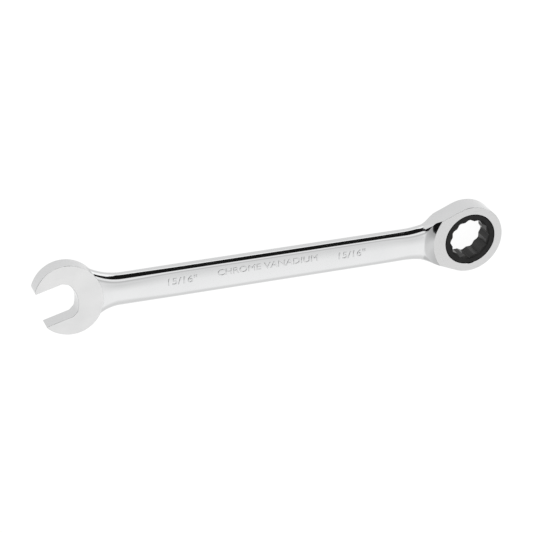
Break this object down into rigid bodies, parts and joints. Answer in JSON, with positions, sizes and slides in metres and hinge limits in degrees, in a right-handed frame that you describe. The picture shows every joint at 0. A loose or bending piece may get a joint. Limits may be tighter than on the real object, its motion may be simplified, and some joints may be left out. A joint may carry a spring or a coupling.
{
  "type": "ratcheting combination wrench",
  "caption": "Combination wrench with an angled open jaw at one end and a ratcheting twelve-point ring at the other, joined by a flat chromed shaft.",
  "frame": {"origin": "middle of the base: the wrench lies flat, and z = 0 is the back face of the ring head", "axes": "+X along the shaft towards the ratcheting ring, +Z out of the front face, parallel to the ring's axis"},
  "size_m": [0.3126, 0.0474, 0.0139],
  "materials": {
    "chromed_steel": "bright nickel-chrome plating, polished on the shaft and satin on the two heads",
    "blacked_steel": "black phosphate over hardened steel, matt",
    "ground_steel": "ground, lightly oiled",
    "spring_steel": "drawn wire, bright",
    "snap_ring_steel": "blued spring steel"
  },
  "bodies": {
    "body": {"wrench_body": "chromed_steel", "snap_ring": "snap_ring_steel", "pawl_spring": "spring_steel"},
    "gear": {"ratchet_gear": "blacked_steel"},
    "pawl": {"pawl": "ground_steel"}
  },
  "joints": [
    {"name": "gear_spin", "type": "hinge", "parent": "body", "child": "gear", "pos_m": [0.1335, 0.00029, 0.00695], "axis": [0, 0, 1], "continuous": true},
    {"name": "pawl_slide", "type": "slide", "parent": "body", "child": "pawl", "axis": [-1, 0, 0], "range_m": [0, 0.001], "stiffness_N_per_m": 300, "springref_m": -0.004}
  ]
}
